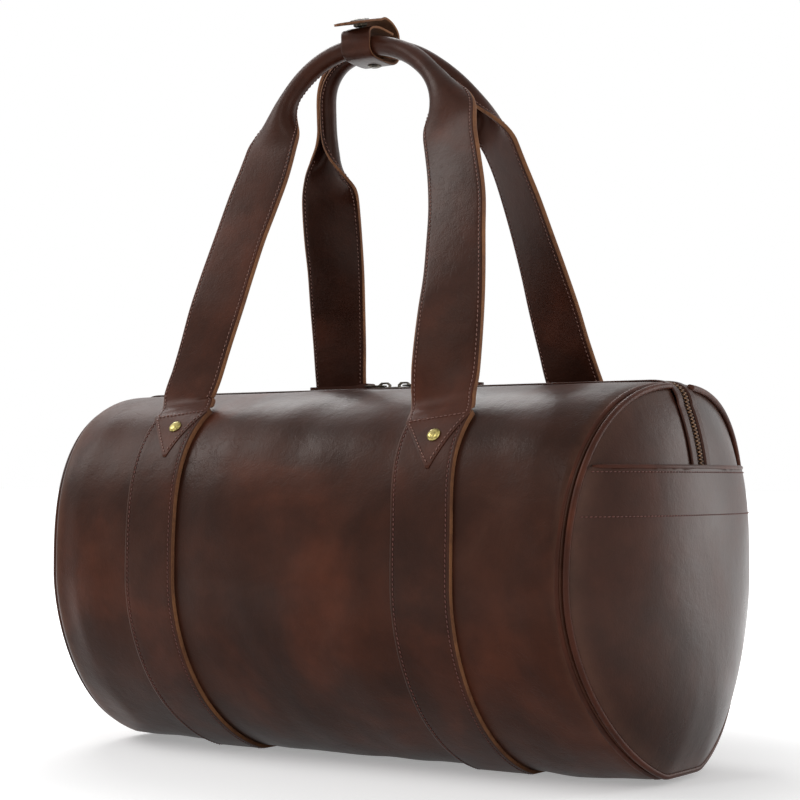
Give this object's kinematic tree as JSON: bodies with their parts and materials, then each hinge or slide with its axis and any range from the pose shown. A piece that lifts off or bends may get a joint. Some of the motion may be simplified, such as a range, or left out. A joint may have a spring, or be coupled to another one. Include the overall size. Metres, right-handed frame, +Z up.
{
  "type": "travel bag",
  "caption": "Barrel-shaped leather travel bag with straps round the body, rolled handles in a snap keeper, a long zip and end slip pockets.",
  "frame": {"origin": "on the floor under the middle of the bag", "axes": "+X along the bag to its right end seen from the front, -Y to the front, +Z up"},
  "size_m": [0.5444, 0.2816, 0.5702],
  "materials": {
    "panel_leather": "soft pull-up leather with a waxy sheen",
    "strap_leather": "firm pull-up leather with raw tan edges",
    "lining_cloth": "plain cotton",
    "zip_tape": "woven tape",
    "grip_cord": "twisted cotton cord",
    "rivet_brass": "antique",
    "dark_brass": "dark antique"
  },
  "bodies": {
    "bag": {"main_panel": "panel_leather", "end_panel_left": "panel_leather", "end_panel_right": "panel_leather", "end_pocket_left": "panel_leather", "end_pocket_right": "panel_leather", "piping_left": "strap_leather", "piping_right": "strap_leather", "body_strap_left": "strap_leather", "body_strap_right": "strap_leather", "handle_end_front_left": "strap_leather", "handle_end_front_right": "strap_leather", "handle_end_rear_left": "strap_leather", "handle_end_rear_right": "strap_leather", "lining": "lining_cloth", "seam_binding_left": "lining_cloth", "seam_binding_right": "lining_cloth", "zip_tape_front": "zip_tape", "zip_tape_rear": "zip_tape", "rivet_front_left": "rivet_brass", "rivet_front_right": "rivet_brass", "rivet_rear_left": "rivet_brass", "rivet_rear_right": "rivet_brass", "zip_teeth_front": "dark_brass", "zip_teeth_rear": "dark_brass", "zip_stop_left": "dark_brass", "zip_stop_right": "dark_brass"},
    "handle_front": {"handle_front": "strap_leather", "grip_core_front": "grip_cord"},
    "handle_rear": {"handle_rear": "strap_leather", "grip_core_rear": "grip_cord", "keeper_strap": "strap_leather", "keeper_flap": "strap_leather", "keeper_snap_stud": "dark_brass", "keeper_snap_socket": "dark_brass", "keeper_snap_cap": "dark_brass", "keeper_rivet": "dark_brass"},
    "slider_left": {"slider_left": "dark_brass"},
    "slider_right": {"slider_right": "dark_brass"},
    "pull_left": {"pull_link_left": "dark_brass", "pull_tab_left": "strap_leather"},
    "pull_right": {"pull_link_right": "dark_brass", "pull_tab_right": "strap_leather"}
  },
  "joints": [
    {"name": "handle_front_swing", "type": "hinge", "parent": "bag", "child": "handle_front", "pos_m": [0, -0.10737, 0.25516], "axis": [1, 0, 0], "range_deg": [0, 125], "deforming": ["keeper_strap", "keeper_flap"]},
    {"name": "handle_rear_swing", "type": "hinge", "parent": "bag", "child": "handle_rear", "pos_m": [0, 0.10737, 0.25516], "axis": [-1, 0, 0], "range_deg": [0, 125], "deforming": ["keeper_strap", "keeper_flap"]},
    {"name": "slider_left_run", "type": "slide", "parent": "bag", "child": "slider_left", "axis": [-1, 0, 0], "range_m": [0, 0.205]},
    {"name": "slider_right_run", "type": "slide", "parent": "bag", "child": "slider_right", "axis": [1, 0, 0], "range_m": [0, 0.205]},
    {"name": "pull_left_fold", "type": "hinge", "parent": "slider_left", "child": "pull_left", "pos_m": [-0.0095, 0, 0.2821], "axis": [0, 1, 0], "range_deg": [0, 90]},
    {"name": "pull_right_fold", "type": "hinge", "parent": "slider_right", "child": "pull_right", "pos_m": [0.0095, 0, 0.2821], "axis": [0, -1, 0], "range_deg": [0, 90]}
  ]
}
